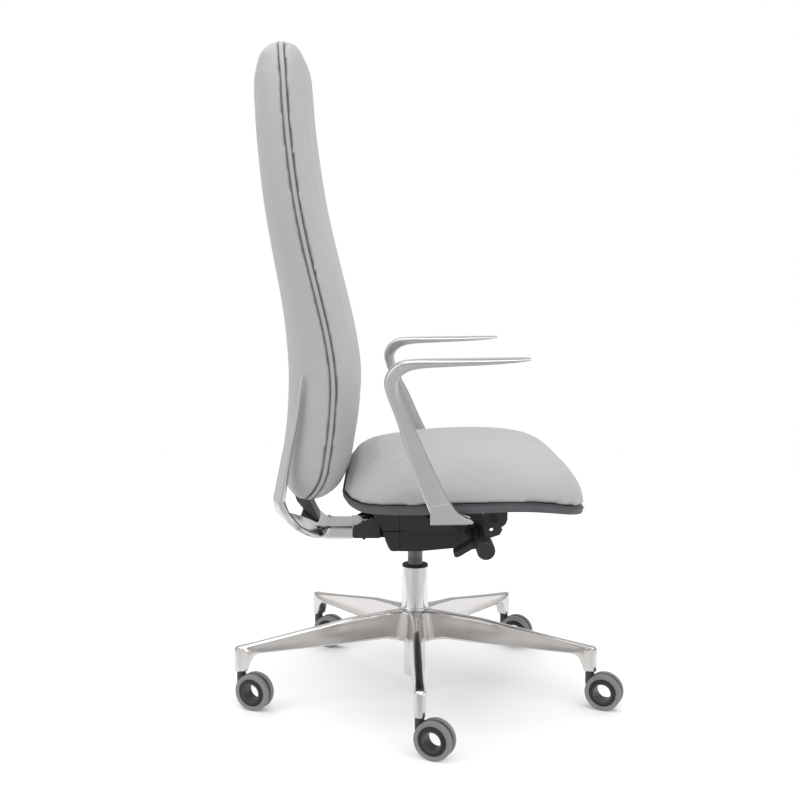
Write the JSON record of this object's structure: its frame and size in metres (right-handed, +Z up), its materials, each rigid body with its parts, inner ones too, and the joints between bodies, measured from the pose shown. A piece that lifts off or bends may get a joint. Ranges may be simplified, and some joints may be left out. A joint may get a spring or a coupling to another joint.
{
  "type": "swivel office chair",
  "caption": "High-backed upholstered swivel chair on a star base with twin-wheel castors, gas lift, reclining back and cast armrests.",
  "frame": {"origin": "on the column's axis at floor level", "axes": "+Z up, the seat faces -Y, +X is the sitter's left"},
  "size_m": [0.6874, 0.6999, 1.176],
  "materials": {
    "polished_aluminium": "polished",
    "chrome": "polished",
    "steel": "satin",
    "cylinder_grey": "satin",
    "mech_black": "matte",
    "cover_plastic": "matte",
    "pan_plastic": "satin",
    "bush_plastic": "satin",
    "rubber_black": "matte",
    "upholstery": "matte",
    "gusset": "matte",
    "castor_plastic": "satin",
    "tyre_grey": "matte"
  },
  "bodies": {
    "base": {"base_star": "polished_aluminium", "castor_stems": "steel", "column_tube": "chrome", "guide_bush": "bush_plastic", "thrust_bearing": "steel"},
    "gas_rod": {"piston_rod": "steel", "retaining_clip": "steel", "bearing_washer": "steel", "bump_stop": "rubber_black"},
    "mechanism": {"gas_cylinder": "cylinder_grey", "mech_housing": "mech_black", "mech_shroud": "cover_plastic", "rear_shrouds": "cover_plastic", "tilt_shaft": "steel", "seat_pivot": "mech_black", "tilt_springs": "steel"},
    "valve": {"valve_pin": "steel"},
    "knob": {"tension_knob": "cover_plastic"},
    "lever_right": {"height_lever": "cover_plastic"},
    "lever_left": {"lock_lever": "cover_plastic"},
    "back": {"back_arm": "mech_black", "back_yoke": "polished_aluminium", "yoke_screws": "steel", "back_bracket": "pan_plastic", "back_front_pad": "upholstery", "back_gusset": "gusset", "back_rear_pad": "upholstery"},
    "seat": {"seat_carrier": "mech_black", "carrier_skirts": "cover_plastic", "seat_pan": "pan_plastic", "seat_cushion": "upholstery", "arm_right": "polished_aluminium", "arm_left": "polished_aluminium", "arm_screws": "steel"},
    "swivel_1": {"castor_1": "castor_plastic"},
    "wheel_1a": {"rim_1a": "castor_plastic", "tyre_1a": "tyre_grey"},
    "wheel_1b": {"rim_1b": "castor_plastic", "tyre_1b": "tyre_grey"},
    "swivel_2": {"castor_2": "castor_plastic"},
    "wheel_2a": {"rim_2a": "castor_plastic", "tyre_2a": "tyre_grey"},
    "wheel_2b": {"rim_2b": "castor_plastic", "tyre_2b": "tyre_grey"},
    "swivel_3": {"castor_3": "castor_plastic"},
    "wheel_3a": {"rim_3a": "castor_plastic", "tyre_3a": "tyre_grey"},
    "wheel_3b": {"rim_3b": "castor_plastic", "tyre_3b": "tyre_grey"},
    "swivel_4": {"castor_4": "castor_plastic"},
    "wheel_4a": {"rim_4a": "castor_plastic", "tyre_4a": "tyre_grey"},
    "wheel_4b": {"rim_4b": "castor_plastic", "tyre_4b": "tyre_grey"},
    "swivel_5": {"castor_5": "castor_plastic"},
    "wheel_5a": {"rim_5a": "castor_plastic", "tyre_5a": "tyre_grey"},
    "wheel_5b": {"rim_5b": "castor_plastic", "tyre_5b": "tyre_grey"}
  },
  "joints": [
    {"name": "swivel", "type": "hinge", "parent": "base", "child": "gas_rod", "pos_m": [0, 0, 0.1], "axis": [0, 0, 1], "continuous": true},
    {"name": "lift", "type": "slide", "parent": "gas_rod", "child": "mechanism", "axis": [0, 0, 1], "range_m": [0, 0.1]},
    {"name": "valve_press", "type": "slide", "parent": "mechanism", "child": "valve", "axis": [0, 0, -1], "range_m": [0, 0.003]},
    {"name": "back_tilt", "type": "hinge", "parent": "mechanism", "child": "back", "pos_m": [0, 0.038, 0.306], "axis": [-1, 0, 0], "range_deg": [0, 20], "stiffness_Nm_per_rad": 70, "springref_deg": -34.38},
    {"name": "seat_tilt", "type": "hinge", "parent": "mechanism", "child": "seat", "pos_m": [0, -0.139, 0.341], "axis": [-1, 0, 0], "range_deg": [0, 7.2]},
    {"name": "tension_turn", "type": "hinge", "parent": "mechanism", "child": "knob", "pos_m": [-0.22, -0.1115, 0.321], "axis": [1, 0, 0], "range_deg": [-720, 720]},
    {"name": "height_release", "type": "hinge", "parent": "mechanism", "child": "lever_right", "pos_m": [-0.17, -0.096, 0.316], "axis": [1, 0, 0], "range_deg": [0, 12], "stiffness_Nm_per_rad": 0.05, "springref_deg": -11.46},
    {"name": "tilt_lock", "type": "hinge", "parent": "mechanism", "child": "lever_left", "pos_m": [0.17, -0.096, 0.316], "axis": [1, 0, 0], "range_deg": [0, 15]},
    {"name": "castor_swivel_1", "type": "hinge", "parent": "base", "child": "swivel_1", "pos_m": [-0.33, 0, 0.06], "axis": [0, 0, 1], "continuous": true},
    {"name": "wheel_roll_1a", "type": "hinge", "parent": "swivel_1", "child": "wheel_1a", "pos_m": [-0.34141, -0.02447, 0.033], "axis": [0.9063, -0.4226, 0], "continuous": true},
    {"name": "wheel_roll_1b", "type": "hinge", "parent": "swivel_1", "child": "wheel_1b", "pos_m": [-0.34141, -0.02447, 0.033], "axis": [0.9063, -0.4226, 0], "continuous": true},
    {"name": "castor_swivel_2", "type": "hinge", "parent": "base", "child": "swivel_2", "pos_m": [-0.10198, -0.31385, 0.06], "axis": [0, 0, 1], "continuous": true},
    {"name": "wheel_roll_2a", "type": "hinge", "parent": "swivel_2", "child": "wheel_2a", "pos_m": [-0.11339, -0.33832, 0.033], "axis": [0.9063, -0.4226, 0], "continuous": true},
    {"name": "wheel_roll_2b", "type": "hinge", "parent": "swivel_2", "child": "wheel_2b", "pos_m": [-0.11339, -0.33832, 0.033], "axis": [0.9063, -0.4226, 0], "continuous": true},
    {"name": "castor_swivel_3", "type": "hinge", "parent": "base", "child": "swivel_3", "pos_m": [0.26698, -0.19397, 0.06], "axis": [0, 0, 1], "continuous": true},
    {"name": "wheel_roll_3a", "type": "hinge", "parent": "swivel_3", "child": "wheel_3a", "pos_m": [0.25556, -0.21844, 0.033], "axis": [0.9063, -0.4226, 0], "continuous": true},
    {"name": "wheel_roll_3b", "type": "hinge", "parent": "swivel_3", "child": "wheel_3b", "pos_m": [0.25556, -0.21844, 0.033], "axis": [0.9063, -0.4226, 0], "continuous": true},
    {"name": "castor_swivel_4", "type": "hinge", "parent": "base", "child": "swivel_4", "pos_m": [0.26698, 0.19397, 0.06], "axis": [0, 0, 1], "continuous": true},
    {"name": "wheel_roll_4a", "type": "hinge", "parent": "swivel_4", "child": "wheel_4a", "pos_m": [0.25556, 0.1695, 0.033], "axis": [0.9063, -0.4226, 0], "continuous": true},
    {"name": "wheel_roll_4b", "type": "hinge", "parent": "swivel_4", "child": "wheel_4b", "pos_m": [0.25556, 0.1695, 0.033], "axis": [0.9063, -0.4226, 0], "continuous": true},
    {"name": "castor_swivel_5", "type": "hinge", "parent": "base", "child": "swivel_5", "pos_m": [-0.10198, 0.31385, 0.06], "axis": [0, 0, 1], "continuous": true},
    {"name": "wheel_roll_5a", "type": "hinge", "parent": "swivel_5", "child": "wheel_5a", "pos_m": [-0.11339, 0.28938, 0.033], "axis": [0.9063, -0.4226, 0], "continuous": true},
    {"name": "wheel_roll_5b", "type": "hinge", "parent": "swivel_5", "child": "wheel_5b", "pos_m": [-0.11339, 0.28938, 0.033], "axis": [0.9063, -0.4226, 0], "continuous": true}
  ],
  "couplings": [
    {"joint": "seat_tilt", "follows": "back_tilt", "ratio": 0.35},
    {"joint": "valve_press", "follows": "height_release", "m_per_rad": 0.014}
  ]
}
